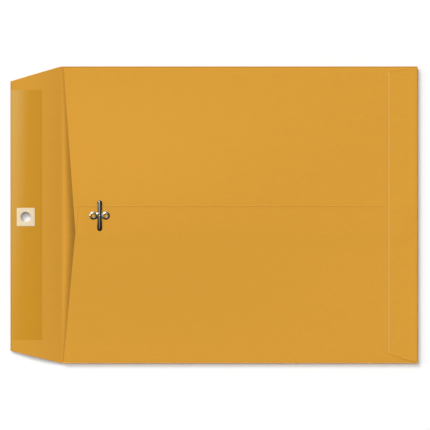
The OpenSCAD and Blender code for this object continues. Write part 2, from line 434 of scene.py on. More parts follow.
class Wire:
    """A shader socket that takes part in sums, each of which adds a Math node."""

    def __init__(self, tree: bpy.types.NodeTree, socket: bpy.types.NodeSocket) -> None:
        """Wraps one output socket of a node tree."""
        self.tree = tree
        self.socket = socket

    def _math(self, operation: str, first: Value, second: Value) -> Wire:
        """Adds a Math node.

        Args:
            operation: Name of the node's operation.
            first: Its first number or socket.
            second: Its second number or socket.

        Returns:
            The node's output.
        """
        node = self.tree.nodes.new("ShaderNodeMath")
        node.operation = operation
        for slot, value in zip(node.inputs, (first, second)):
            if isinstance(value, Wire):
                self.tree.links.new(value.socket, slot)
            else:
                slot.default_value = value
        return Wire(self.tree, node.outputs[0])

    def __add__(self, other: Value) -> Wire:
        """Sum with a number or socket."""
        return self._math("ADD", self, other)

    def __radd__(self, other: Value) -> Wire:
        """Sum with a number on the left."""
        return self._math("ADD", other, self)

    def __sub__(self, other: Value) -> Wire:
        """Difference from a number or socket."""
        return self._math("SUBTRACT", self, other)

    def __rsub__(self, other: Value) -> Wire:
        """Difference from a number on the left."""
        return self._math("SUBTRACT", other, self)

    def __mul__(self, other: Value) -> Wire:
        """Product with a number or socket."""
        return self._math("MULTIPLY", self, other)

    def __rmul__(self, other: Value) -> Wire:
        """Product with a number on the left."""
        return self._math("MULTIPLY", other, self)

    def __truediv__(self, other: Value) -> Wire:
        """Quotient by a number or socket."""
        return self._math("DIVIDE", self, other)

    def __abs__(self) -> Wire:
        """Size without its sign."""
        return self._math("ABSOLUTE", self, 0.0)

    def __pow__(self, other: Value) -> Wire:
        """Power of a number or socket."""
        return self._math("POWER", self, other)

    def most(self, other: Value) -> Wire:
        """The larger of two values."""
        return self._math("MAXIMUM", self, other)


Value = Union[float, Wire]


class Nodes:
    """A node tree and the moves that add to it."""

    def __init__(self, tree: bpy.types.NodeTree) -> None:
        """Takes the tree to add to."""
        self.tree = tree

    def node(
        self,
        kind: str,
        settings: Optional[dict[str, Any]] = None,
        inputs: Optional[dict[Union[str, int], Any]] = None,
    ) -> bpy.types.Node:
        """Adds any node.

        Args:
            kind: Type name of the node.
            settings: Its settings, which are set first.
            inputs: Values or links of its sockets, by name or number.

        Returns:
            The new node.
        """
        node = self.tree.nodes.new(kind)
        for key, value in (settings or {}).items():
            setattr(node, key, value)
        for key, value in (inputs or {}).items():
            self.feed(node.inputs[key], value)
        return node

    def feed(self, socket: bpy.types.NodeSocket, value: Any) -> None:
        """Links or sets one input socket.

        Args:
            socket: The input.
            value: A Wire or an output socket to link, or a plain value to set.
        """
        if isinstance(value, Wire):
            self.tree.links.new(value.socket, socket)
        elif isinstance(value, bpy.types.NodeSocket):
            self.tree.links.new(value, socket)
        else:
            socket.default_value = value

    def wire(self, node: bpy.types.Node, output: Union[str, int] = 0) -> Wire:
        """Output of a node, for use in sums."""
        return Wire(self.tree, node.outputs[output])

    def step(self, value: Wire, low: float, high: float) -> Wire:
        """Smooth step from 0 to 1 between two values; low may be above high, which turns it round."""
        return self.wire(
            self.node(
                "ShaderNodeMapRange",
                {"interpolation_type": "SMOOTHSTEP"},
                {"Value": value, "From Min": low, "From Max": high},
            )
        )


class Surface(Nodes):
    """A procedural material: its node tree, its Principled shader and the moves that feed it."""

    def __init__(self, name: str, places: Optional[str] = None) -> None:
        """Starts an empty material.

        Args:
            name: Name of the material.
            places: Attribute that holds the places of its patterns, where the piece bends.
        """
        self.material = bpy.data.materials.new(name)
        self.material.use_nodes = True
        super().__init__(self.material.node_tree)
        self.shader = self.tree.nodes["Principled BSDF"]
        if places:
            self.place = self.node("ShaderNodeAttribute", {"attribute_name": places}).outputs["Vector"]
        else:
            self.place = self.node("ShaderNodeTexCoord").outputs["Object"]

    def axis(self, name: str) -> Wire:
        """One coordinate of the piece, X, Y or Z, in metres."""
        return self.wire(self.node("ShaderNodeSeparateXYZ", inputs={0: self.place}), name)

    def length(self) -> Wire:
        """Distance from the flap's shoulders along the envelope, in metres."""
        return self.axis("X") - SHOULDER_X * MM

    def span(self, value: Wire, limits: Point) -> Wire:
        """Smooth step from 0 to 1 between two lengths in millimetres; the first may be the larger."""
        return self.step(value, limits[0] * MM, limits[1] * MM)

    def noise(self, cell: Sequence[float], detail: float = 2.0, shift: float = 0.0) -> Wire:
        """Soft noise from 0 to 1.

        Args:
            cell: Size of the noise along x, y and z, in millimetres.
            detail: Number of finer layers.
            shift: Moves the pattern, so that two of one size differ.

        Returns:
            The noise.
        """
        mapping = self.node(
            "ShaderNodeMapping",
            inputs={
                "Vector": self.place,
                "Location": (shift, shift * 0.7, shift * 1.3),
                "Scale": tuple(1 / (size * MM) for size in cell),
            },
        )
        inputs = {"Vector": mapping.outputs[0], "Scale": 1.0, "Detail": detail}
        return self.wire(self.node("ShaderNodeTexNoise", inputs=inputs))

    def mix(self, share: Value, first: Any, second: Any) -> bpy.types.NodeSocket:
        """Mix of two colours.

        Args:
            share: Share of the second colour, from 0 to 1.
            first: A colour or a socket.
            second: A colour or a socket.

        Returns:
            The mixed colour's socket.
        """
        node = self.node("ShaderNodeMix", {"data_type": "RGBA", "clamp_factor": True})
        self.feed(node.inputs[0], share)
        for number, colour in ((6, first), (7, second)):
            self.feed(node.inputs[number], (*colour, 1.0) if isinstance(colour, tuple) else colour)
        return node.outputs[2]

    def tint(self, colour: Any, amount: Wire) -> bpy.types.NodeSocket:
        """A colour made lighter or darker by an amount about 1."""
        node = self.node("ShaderNodeVectorMath", {"operation": "SCALE"})
        self.feed(node.inputs[0], colour)
        self.feed(node.inputs["Scale"], amount)
        return node.outputs[0]

    def bump(self, height: Wire, distance: float, strength: float) -> None:
        """Feeds a bump to the shader.

        Args:
            height: Height of the surface, from 0 to 1.
            distance: Height that 1 stands for, in millimetres.
            strength: Share of the bump that shows.
        """
        node = self.node(
            "ShaderNodeBump", inputs={"Strength": strength, "Distance": distance * MM, "Height": height}
        )
        self.feed(self.shader.inputs["Normal"], node.outputs[0])

    def set(self, **values: Any) -> None:
        """Feeds sockets of the shader, whose names are given with _ for a space."""
        for name, value in values.items():
            self.feed(self.shader.inputs[name.replace("_", " ")], value)


@dataclass(frozen=True)
class KraftFinish:
    """Uncoated golden kraft paper: fibres along the length, soft clouds and flecks; painted light on the side
    fold at negative y, and a darker band on the other side fold and on the flap's rim; painted shade on the
    flap, in the mouth and in front of the bottom flap's step; a painted highlight along the bottom flap's
    free edge.

    The tones are shares of the paper's own colour. The spans say where a tone sets in, first where it is nil.
    """

    name: str
    colour: Colour
    # Painted shade that darkens the flap, as if it tilted away from the light.
    flap_shade_tone: float = 0.0
    # Painted shade in the mouth: a darkening past the lip, and more for each millimetre of the mouth's depth.
    mouth_shade_tone: float = 0.0
    depth_shade_tone: float = 0.0
    # Darkening along the side fold at positive y on the outer face, and along the flap's free edge on the
    # inner face.
    edge_dark_tone: float = 0.0
    # Painted light that brightens the side fold at negative y, which faces away from the lamps.
    fold_light_tone: float = 0.0
    # Painted shadow in a band in front of the bottom flap's step.
    step_shade_tone: float = 0.0
    lip_s: Optional[float] = None
    lip_w: float = 1.9
    places: Optional[str] = None
    cloud_tone: float = 0.035
    fibre_tone: float = 0.10
    grit_tone: float = 0.07
    fleck_share: float = 0.22
    fleck_colour: Colour = linear(150, 96, 34)
    pale_share: float = 0.20
    pale_colour: Colour = linear(238, 196, 120)
    # Painted highlight along the bottom flap's free edge: its share and its colour.
    lip_highlight_share: Point = (0.08, 0.24)
    lip_highlight_colour: Colour = linear(204, 176, 120)
    flap_span: Point = (2.4, -1.2)
    rim_span: Point = (-42.0, -42.6)
    # Where the painted shade of the mouth lies: the lip's line from its deepest point, and the share of the
    # way to it.
    point_y: float = -17.7
    mouth_depth: float = 12.5
    mouth_lean: Point = (0.0848, 0.0103)
    mouth_share: Point = (0.25, 0.9)
    right_fold: Point = (125.9, 126.3)
    left_fold: Point = (-126.0, -126.5)
    # Where the painted shadow in front of the bottom flap's step lies, along and across.
    step_shade_span: Point = (279.0, 279.3)
    step_shade_ends: Point = (119.0, 117.5)

    def make(self) -> bpy.types.Material:
        """Builds the material."""
        surface = Surface(self.name, self.places)
        clouds = surface.noise((9.0, 6.0, 6.0), 3.0)
        fibres = surface.noise((3.2, 0.35, 0.35), 4.0, 3.1)
        grit = surface.noise((0.45, 0.4, 0.4), 3.0, 7.7)
        flecks = surface.step(surface.noise((0.9, 0.55, 0.55), 1.0, 5.3), 0.70, 0.78)
        pale = surface.step(surface.noise((1.6, 0.4, 0.4), 1.0, 9.1), 0.70, 0.80)
        tone = 1.0 + (clouds - 0.5) * self.cloud_tone
        tone = tone + (fibres - 0.5) * self.fibre_tone + (grit - 0.5) * self.grit_tone
        # A finish with painted shade on the flap takes the inner face's tones.
        tone = tone + (self._inner_tone(surface) if self.flap_shade_tone else self._outer_tone(surface))
        colour = surface.tint((*self.colour,), tone)
        colour = surface.mix(flecks * self.fleck_share, colour, self.fleck_colour)
        colour = surface.mix(pale * self.pale_share, colour, self.pale_colour)
        # Painted highlight: a paler band along the bottom flap's free edge, which faces the light.
        if self.lip_s is not None:
            past_lip = surface.length() - self.lip_s * MM
            lit_band = surface.span(past_lip, (self.lip_w, self.lip_w * 0.5))
            share = lit_band * (self.lip_highlight_share[0] + grit * self.lip_highlight_share[1])
            colour = surface.mix(share, colour, self.lip_highlight_colour)
        surface.set(
            Base_Color=colour,
            Roughness=0.80 + (fibres - 0.5) * 0.16,
            Specular_IOR_Level=0.12,
        )
        surface.bump(fibres * 0.6 + grit * 0.4, 0.03, 0.35)
        return surface.material

    def _inner_tone(self, surface: Surface) -> Wire:
        """Tones of the inner face: the painted shade of the flap, its darker rim, and the painted shade in
        the mouth, which sets in past the lip and deepens where the mouth is deeper.
        """
        length = surface.length()
        # Painted shade on the flap, as if it tilted away from the light.
        flap_shade = surface.span(length, self.flap_span)
        rim = surface.span(length, self.rim_span)
        off_point = surface.axis("Y") - self.point_y * MM
        lip = self.mouth_depth * MM - abs(off_point) * self.mouth_lean[0] + off_point * self.mouth_lean[1]
        # Painted shade in the mouth, deeper where the mouth is deeper.
        depth = self.mouth_shade_tone + lip * (self.depth_shade_tone / MM)
        pocket_shade = surface.step(length / lip, *self.mouth_share) * depth
        return 0.0 - flap_shade * self.flap_shade_tone - rim * self.edge_dark_tone - pocket_shade

    def _outer_tone(self, surface: Surface) -> Wire:
        """Tones of the outer face: painted light on the side fold at negative y, a darker band on the fold at
        positive y, and a painted shadow in front of the bottom flap's step.
        """
        width = surface.axis("Y")
        # A darker band on the side fold at positive y, and painted light on the fold at negative y, which
        # faces away from the lamps.
        right = surface.span(width, self.right_fold) * self.edge_dark_tone
        left = surface.span(width, self.left_fold) * self.fold_light_tone
        # Painted shadow in front of the bottom flap's step, fading towards its slanted ends.
        step_shade = surface.span(surface.length(), self.step_shade_span)
        step_shade = step_shade * surface.span(abs(width), self.step_shade_ends)
        return left - right - step_shade * self.step_shade_tone


@dataclass(frozen=True)
class CutEdgeFinish:
    """Cut edge of the kraft paper, where its paler core shows."""

    name: str
    colour: Colour

    def make(self) -> bpy.types.Material:
        """Builds the material."""
        surface = Surface(self.name)
        torn = surface.noise((0.5, 0.5, 0.2), 3.0)
        colour = surface.tint((*self.colour,), 0.9 + torn * 0.2)
        surface.set(Base_Color=colour, Roughness=0.88 + (torn - 0.5) * 0.1, Specular_IOR_Level=0.2)
        surface.bump(torn, 0.04, 0.5)
        return surface.material


@dataclass(frozen=True)
class GumFinish:
    """Dried gum: a darker satin film in rolled streaks, with a paler band towards the flap's edge, partly a
    thinner film and partly a painted sheen that grows towards positive y.
    """

    name: str
    colour: Colour
    # The paler band: partly a thinner film, partly a painted sheen.
    film_and_sheen_colour: Colour
    film_and_sheen_span: Point = (-28.1, -44.6)
    film_and_sheen_waver: float = 5.0
    film_and_sheen_lean: float = 0.03
    # Painted sheen: where the pale band grows along the flap's length.
    sheen_ends: Point = (-120.0, 90.0)
    film_and_sheen_share: Point = (0.3, 0.6)
    rim_span: Point = (-42.0, -42.6)
    rim_tone: float = 0.16

    def make(self) -> bpy.types.Material:
        """Builds the material."""
        surface = Surface(self.name)
        streaks = surface.noise((0.9, 26.0, 5.0), 3.0, 2.3)
        pools = surface.noise((12.0, 16.0, 8.0), 2.0, 4.9)
        length = surface.length()
        width = surface.axis("Y")
        wavering = length + (pools - 0.5) * (self.film_and_sheen_waver * MM) - width * self.film_and_sheen_lean
        film_and_sheen = surface.span(wavering, self.film_and_sheen_span)
        # Painted sheen: the pale band is stronger towards positive y, where the light comes from.
        share = self.film_and_sheen_share[0] + surface.span(width, self.sheen_ends) * self.film_and_sheen_share[1]
        colour = surface.mix(film_and_sheen * share, self.colour, self.film_and_sheen_colour)
        rim = surface.span(length, self.rim_span) * self.rim_tone
        colour = surface.tint(colour, 1.0 + (streaks - 0.5) * 0.07 + (pools - 0.5) * 0.04 - rim)
        surface.set(Base_Color=colour, Roughness=0.48 + (streaks - 0.5) * 0.18, Specular_IOR_Level=0.18)
        surface.bump(streaks, 0.03, 0.25)
        return surface.material


@dataclass(frozen=True)
class PatchFinish:
    """Cream patch board: matt, with faint fibres."""

    name: str
    colour: Colour

    def make(self) -> bpy.types.Material:
        """Builds the material."""
        surface = Surface(self.name)
        fibres = surface.noise((0.35, 1.4, 0.4), 4.0, 1.7)
        clouds = surface.noise((3.0, 3.0, 3.0), 2.0, 6.1)
        colour = surface.tint((*self.colour,), 1.0 + (fibres - 0.5) * 0.07 + (clouds - 0.5) * 0.05)
        surface.set(Base_Color=colour, Roughness=0.78 + (fibres - 0.5) * 0.12, Specular_IOR_Level=0.25)
        surface.bump(fibres, 0.02, 0.35)
        return surface.material


@dataclass(frozen=True)
class TinFinish:
    """Stamped tinplate with painted light: a bright copy of the tin for painted highlights and a dark copy
    elsewhere for painted shade, with drawing lines.

    The painted highlights lie on the crown, on the flank towards the flap, on the side of the eyes that faces
    the lamps, along the ridge of the bridge and at a prong's root. The spans say where each sets in, first
    where it is nil.
    """

    name: str
    # Painted light and shade: the bright copy of the tin for painted highlights, and the dark copy for shade.
    highlight_colour: Colour
    shade_colour: Colour
    crown_s: float
    crown_span: Point = (0.5, 0.1)
    face: float = 0.0
    face_span: Point = (0.0, -0.5)
    eye: Optional[Point] = None
    rough: float = 0.30
    root_span: Optional[Point] = None
    root_face: Point = (0.1, -0.4)
    # Painted highlight at a prong's root.
    root_highlight_colour: Colour = (0.58, 0.545, 0.44)
    saddle_crown: float = 0.85
    saddle_face: float = 0.3
    saddle_span: Point = (1.6, 1.1)
    saddle_flank: Point = (-0.2, -0.7)
    eye_from: Point = (1.3, 1.8)
    eye_lit_span: Point = (-1.2, 0.8)
    eye_outer: Point = (2.0, 2.3)
    eye_share: float = 0.3
    outer_share: Point = (-0.20, 0.9)
    web_span: Point = (2.8, 3.3)
    ridge_span: Point = (0.4, 1.2)
    ridge_lean: float = 0.25

    def make(self) -> bpy.types.Material:
        """Builds the material."""
        surface = Surface(self.name)
        lines = surface.noise((0.12, 3.0, 0.4), 3.0, 8.3)
        stains = surface.noise((1.3, 1.6, 1.3), 3.0, 2.9)
        past_crown = surface.length() - self.crown_s * MM
        # Painted highlight along the crown, where the dome would catch the light.
        painted_highlight = surface.span(abs(past_crown), self.crown_span)
        # Painted highlight on the flank towards the flap.
        if self.face:
            painted_highlight = painted_highlight.most(surface.span(past_crown, self.face_span) * self.face)
        if self.eye:
            painted_highlight = self._base_highlights(surface, past_crown, painted_highlight, *self.eye)
        # Painted light and shade: the bright copy where a highlight is painted, the dark copy elsewhere.
        colour = surface.mix(painted_highlight * (0.7 + stains * 0.4), self.shade_colour, self.highlight_colour)
        # Painted highlight on the flank of a prong near its root.
        if self.root_span:
            near_root = surface.span(surface.axis("Y"), self.root_span)
            colour = surface.mix(
                near_root * surface.span(past_crown, self.root_face), colour, self.root_highlight_colour
            )
        surface.set(
            Base_Color=colour,
            Metallic=1.0,
            Roughness=self.rough - painted_highlight * 0.08 + (lines - 0.5) * 0.16,
        )
        surface.bump(lines, 0.01, 0.25)
        return surface.material

    def _base_highlights(self, surface: Surface, past_crown: Wire, painted_highlight: Wire, eye_at: float, eye_y: float) -> Wire:
        """Painted highlights of the clasp's base, with its two eyes, bridge and saddle.

        Args:
            surface: The material.
            past_crown: Distance past the clasp's middle line, towards the bottom.
            painted_highlight: Painted highlight of the crown.
            eye_at: Distance of an eye's middle from that line.
            eye_y: Distance of the eyes from the envelope's centre line.

        Returns:
            The painted highlight, from 0 to 1.
        """
        off_crown = abs(past_crown)
        across = surface.axis("Y") - eye_y * MM
        from_eye = off_crown - eye_at * MM
        radius = (from_eye * from_eye + across * across) ** 0.5
        slant = across - past_crown + past_crown / off_crown * (eye_at * MM)
        web = surface.span(radius, self.web_span)
        ridge = surface.span(across + past_crown * self.ridge_lean, self.ridge_span)
        # Painted highlight on the side of the eyes that faces the lamps, and along the ridge of the bridge.
        lit_band = surface.span(slant, self.eye_lit_span).most(web * ridge)
        outer = surface.span(radius, self.eye_outer)
        rim = self.eye_share + outer * (lit_band * self.outer_share[1] + self.outer_share[0])
        # Painted highlight on the saddle's flank towards the flap.
        flank = surface.span(past_crown, self.saddle_flank) * surface.span(off_crown, self.saddle_span)
        painted_highlight = (painted_highlight * self.saddle_crown).most(surface.span(off_crown, self.eye_from) * rim)
        return painted_highlight.most(flank * self.saddle_face)


@dataclass(frozen=True)
class Relief:
    """Sizes that the papers share, and the heights of their layers over the length s and the width y."""

    body_w: float = 254.0
    body_l: float = 305.7
    paper: float = 0.2
    back_z: float = 1.8
    puff: float = 4.4
    puff_l: float = 61.0
    puff_end: float = 280.3
    side_y: float = 126.0
    side_r: float = 1.0
    bottom_r: float = 1.29
    lap_lift: float = 0.29
    lap_low_y: float = -17.7
    seam_y: float = 7.7
    climb_w: float = 8.0
    seam_curl: float = 0.26
    curl_w: float = 1.3
    curl_stop: Point = (0.8, 3.2)
    settled_z: float = 2.09
    settle_l: float = 8.0
    end_curl: float = 0.32
    right_curl: float = 0.18
    end_w: float = 2.2
    crease: float = 1.8
    flap_d: float = 43.1
    flap_bow: float = 2.0
    bow_loss: float = 0.3
    eyelet: Point = (-29.9, -1.9)
    eyelet_r: float = 4.4

    def back(self, s: float, y: float) -> float:
        """Underside of the right half of the back."""
        rise = 1 - ease((s - self.puff_l) / (self.puff_end - self.puff_l))
        return self.back_z + self.puff * rise * (1 - ease(abs(y) / self.side_y))

    def over(self, s: float, y: float) -> float:
        """Underside of the left half of the back, which climbs onto the lap and curls up at the seam edge."""
        climb = ease((y - self.lap_low_y + self.climb_w) / self.climb_w)
        curl = clamp((y - self.seam_y + self.curl_w) / self.curl_w) ** 2
        least, most = self.curl_stop
        free = clamp((self.puff_end - least - s) / (most - least))
        return self.back(s, y) + self.lap_lift * climb + self.seam_curl * curl * free

    def bottom(self, s: float, y: float, inset: float) -> float:
        """Underside of the bottom flap, whose slanted ends curl up a little.

        Args:
            s: Distance from the flap's shoulders.
            y: Distance from the centre line.
            inset: Distance from the nearer slanted end.

        Returns:
            The height.
        """
        left = ease((y - self.lap_low_y + self.climb_w) / self.climb_w)
        right = ease((self.seam_y + self.climb_w - y) / self.climb_w)
        fold = 1 - ease((self.body_l - self.bottom_r - s) / self.settle_l)
        curl = clamp(1 - inset / self.end_w) ** 2 * (1 - fold)
        lift = self.end_curl if y < 0 else self.right_curl
        return self.settled_z + self.lap_lift * max(min(left, right), fold) + lift * curl

    def flap(self, s: float, y: float) -> float:
        """Underside of the front panel and of the open flap, which bows a little off the table."""
        share = clamp((self.crease - s) / (self.crease + self.flap_d))
        ends = 1 - self.bow_loss * (y / (self.body_w / 2)) ** 2
        return self.flap_bow * ends * math.sin(math.pi * share)


@dataclass
class PaperBlank:
    """The folded kraft blank: front with its flap, both halves of the back, and the bottom flap."""

    relief: Relief
    finish: KraftFinish
    inside: KraftFinish
    front: KraftFinish
    bottom: KraftFinish
    edge: CutEdgeFinish
    mouth_side: float = 2.5
    mouth_over: float = 15.0
    mouth_under: float = 13.1
    mouth_curl: float = 0.2
    panel_end: float = 304.21
    flap_left: float = -116.3
    flap_right: float = 114.3
    corner_end: float = 305.4
    corner_in: float = 0.5
    corner_w: float = 0.3
    shoulder_left: float = 0.9
    shoulder_right: float = 0.0
    bottom_left: tuple[Point, ...] = ((280.3, -117.8), (292.2, -122.9), (304.41, -125.9))
    bottom_right: tuple[Point, ...] = ((280.3, 122.6), (291.0, 124.6), (304.41, 125.5))
    bottom_ends: float = 112.0
    lip_w: float = 0.4
    lip_from: float = 0.15
    lip_round: float = 0.09
    blend_half: float = 2.0
    blend_cuts: int = 7
    fold_steps: int = 12
    bottom_steps: int = 14
    front_cell: Point = (4.0, 6.0)
    back_cell: Point = (4.0, 4.0)
    bottom_cell: Point = (2.0, 2.0)

    def build(self) -> list[bpy.types.Object]:
        """Makes all the sheets and dresses them, and puts all but the front sheet on their bodies."""
        outside = self.finish.make()
        edge = self.edge.make()
        return [
            self._front(self.inside.make(), edge, self.front.make()),
            self._under(outside, edge),
            self._over(outside, edge),
            self._bottom(self.bottom.make(), edge),
        ]

    def _wall(self, sheet: bpy.types.Object, *materials: bpy.types.Material) -> None:
        """Thickens a sheet, given the materials of its face, cut edges and, where it differs, its back."""
        Bench.coat(sheet.data, *materials)
        Bench.thicken(sheet, self.relief.paper * MM, rim=1, back=2 if len(materials) > 2 else 0)

    def _dress(self, piece: bpy.types.Object, *nodes: str) -> None:
        """Shades a sheet and hides the parts that it stands for."""
        Bench.smooth(piece)
        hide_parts(*nodes)

    def _front(
        self, paper: bpy.types.Material, edge: bpy.types.Material, other: bpy.types.Material
    ) -> bpy.types.Object:
        """Front panel and open flap, one sheet, whose flap bows up from the crease.

        Args:
            paper: Material of the inner face.
            edge: Material of the cut edges.
            other: Material of the outer face.

        Returns:
            The sheet.
        """
        relief = self.relief
        half = relief.body_w / 2
        end = relief.body_l - relief.bottom_r
        sheet = Bench.grid(
            "front_and_flap_sheet", at(-relief.flap_d, -half), at(end, half), self.front_cell
        )
        step = self.blend_half / self.blend_cuts
        reach = self.blend_cuts + 2
        for index in range(-reach, reach + 1):
            Bench.cut(sheet, at(relief.crease + index * step, 0.0), ALONG)
        sides = ((-1, self.shoulder_left, self.flap_left), (1, self.shoulder_right, self.flap_right))
        for side, shoulder, corner in sides:
            Bench.trim(
                sheet,
                (shoulder, side * half),
                (-relief.flap_d, corner),
                (-relief.flap_d, side * half),
            )
            for place in (relief.side_y - self.corner_in, relief.side_y):
                Bench.cut(sheet, at(0.0, side * place), ACROSS)
        Bench.drop(sheet, lambda p: along(p)[0] > relief.crease and abs(along(p)[1]) > relief.side_y)

        def lay(place: Vector) -> Vector:
            """Draws the bottom corners out to the fold and lifts the sheet to its height."""
            s, y = along(place)
            if s > end - NEAR and abs(y) > relief.side_y - NEAR:
                s = self.corner_end
            return at(s, y, relief.flap(s, y) + relief.paper)

        Bench.move(sheet, lay)
        self._wall(sheet, paper, edge, other)
        Bench.pierce(sheet, at(*relief.eyelet), relief.eyelet_r * MM)
        Bench.remember(sheet, FLAT_PLACE)
        self._dress(sheet, "front_panel", "closing_flap")
        tuple(at(relief.crease + self.blend_half, 0.0))
        tuple(at(relief.crease - self.blend_half, 0.0))
        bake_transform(sheet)
        return sheet

    def _fold_side(self, sheet: bpy.types.Object, side: int) -> None:
        """Bends a back sheet round its side fold, with its end drawn to the crease.

        Args:
            sheet: The sheet, up to the start of the bend.
            side: 1 for the right side and -1 for the left.
        """
        relief = self.relief
        border = side * relief.side_y * MM
        Bench.roll(
            sheet,
            lambda p: abs(p.y - border) < NEAR * MM,
            at(0.0, side * relief.side_y, relief.side_r),
            ALONG * side,
            math.pi,
            self.fold_steps,
        )
        top = 2 * relief.side_r

        def slant(place: Vector) -> Vector:
            """Draws one end of the bend back towards the crease, and the other out to the bottom corner."""
            s, y = along(place)
            if abs(s - self.mouth_side) < NEAR and place.z < (top - NEAR) * MM:
                share = clamp(place.z / MM / top)
                return at(relief.crease + (self.mouth_side - relief.crease) * share, y, place.z / MM)
            if abs(s - self.panel_end) < NEAR and abs(y) > relief.side_y:
                share = clamp((abs(y) - relief.side_y) / self.corner_w)
                return at(s + (self.corner_end - s) * share, y, place.z / MM)
            return place

        Bench.move(sheet, slant)

    def _under(self, paper: bpy.types.Material, edge: bpy.types.Material) -> bpy.types.Object:
        """Right half of the back, which runs under the lap, with its side fold."""
        relief = self.relief
        sheet = Bench.grid(
            "under_back_sheet",
            at(0.0, relief.lap_low_y),
            at(self.panel_end, relief.side_y),
            self.back_cell,
        )
        Bench.trim(
            sheet,
            (self.mouth_side, relief.side_y),
            (self.mouth_under, relief.lap_low_y),
            (0.0, relief.lap_low_y),
        )
        Bench.move(sheet, lambda p: at(*along(p), relief.back(*along(p)) + relief.paper))
        self._fold_side(sheet, 1)
        self._wall(sheet, paper, edge)
        self._dress(sheet, "under_back_panel", "right_side_fold")
        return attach(sheet, Body.ENVELOPE.value)

    def _over(self, paper: bpy.types.Material, edge: bpy.types.Material) -> bpy.types.Object:
        """Left half of the back, which shows its edge at the seam, with its side fold."""
        relief = self.relief
        sheet = Bench.grid(
            "over_back_sheet",
            at(0.0, -relief.side_y),
            at(self.panel_end, relief.seam_y),
            self.back_cell,
        )
        Bench.trim(
            sheet,
            (self.mouth_side, -relief.side_y),
            (self.mouth_over, relief.seam_y),
            (0.0, relief.seam_y),
        )
        for share in CURL_SHARES:
            Bench.cut(sheet, at(0.0, relief.seam_y - relief.curl_w * share), ACROSS)
        for before_lip in relief.curl_stop:
            Bench.cut(sheet, at(relief.puff_end - before_lip, 0.0), ALONG)
        lean = (self.mouth_over - self.mouth_side) / (relief.seam_y + relief.side_y)
        for share in CURL_SHARES:
            start = at(self.mouth_side + relief.curl_w * share, -relief.side_y)
            Bench.cut(sheet, start, Vector((1.0, -lean, 0.0)).normalized())

        def lay(place: Vector) -> Vector:
            """Lifts a point of the sheet to its height, with the edge of the mouth curled up on the lap."""
            s, y = along(place)
            past_mouth = s - self.mouth_side - lean * (y + relief.side_y)
            on_lap = ease((y - relief.lap_low_y) / relief.climb_w)
            curl = self.mouth_curl * on_lap * clamp(1 - past_mouth / relief.curl_w) ** 2
            return at(s, y, relief.over(s, y) + relief.paper + curl)

        Bench.move(sheet, lay)
        self._fold_side(sheet, -1)
        self._wall(sheet, paper, edge)
        self._dress(sheet, "over_back_panel", "left_side_fold")
        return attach(sheet, Body.ENVELOPE.value)

    def _inset(self, s: float, y: float) -> float:
        """Distance across the bottom flap from the nearer of its slanted ends."""

        def end(line: Sequence[Point]) -> float:
            """Place of a slanted end, at this distance along the envelope."""
            (low_s, low_y), (high_s, high_y) = line[:2] if s < line[1][0] else line[1:]
            return low_y + (high_y - low_y) * (s - low_s) / (high_s - low_s)

        return min(y - end(self.bottom_left), end(self.bottom_right) - y)

    def _bottom(self, paper: bpy.types.Material, edge: bpy.types.Material) -> bpy.types.Object:
        """Bottom flap, glued over the back, with the bend that joins it to the front."""
        relief = self.relief
        fold_s = relief.body_l - relief.bottom_r
        sheet = Bench.grid(
            "bottom_flap_sheet",
            at(relief.puff_end, -relief.side_y),
            at(fold_s, relief.side_y),
            self.bottom_cell,
        )
        Bench.cut(sheet, at(relief.puff_end + self.lip_w, 0.0), ALONG)
        for side, line in ((-1, self.bottom_left), (1, self.bottom_right)):
            for start, end in zip(line, line[1:]):
                Bench.trim(sheet, start, end, (relief.puff_end, side * relief.body_w))
                run = at(*end) - at(*start)
                for share in CURL_SHARES:
                    Bench.cut(
                        sheet,
                        at(start[0], start[1] - side * relief.end_w * share),
                        Vector((run.y, -run.x, 0.0)).normalized(),
                        within=lambda p: side * along(p)[1] > self.bottom_ends
                        and start[0] < along(p)[0] < end[0],
                    )

        def lay(place: Vector) -> Vector:
            """Lifts a point of the sheet to its height."""
            s, y = along(place)
            return at(s, y, relief.bottom(s, y, self._inset(s, y)) + relief.paper)

        Bench.move(sheet, lay)
        border = at(fold_s, 0.0).x
        Bench.roll(
            sheet,
            lambda p: abs(p.x - border) < NEAR * MM,
            at(fold_s, 0.0, relief.bottom_r),
            -ACROSS,
            math.pi,
            self.bottom_steps,
        )
        self._wall(sheet, paper, edge)
        top = relief.settled_z + self.lip_from
        Bench.round_edge(
            sheet,
            lambda p: abs(along(p)[0] - relief.puff_end) < NEAR and p.z > top * MM,
            self.lip_round * MM,
            1,
        )
        self._dress(sheet, "bottom_flap", "bottom_fold")
        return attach(sheet, Body.ENVELOPE.value)


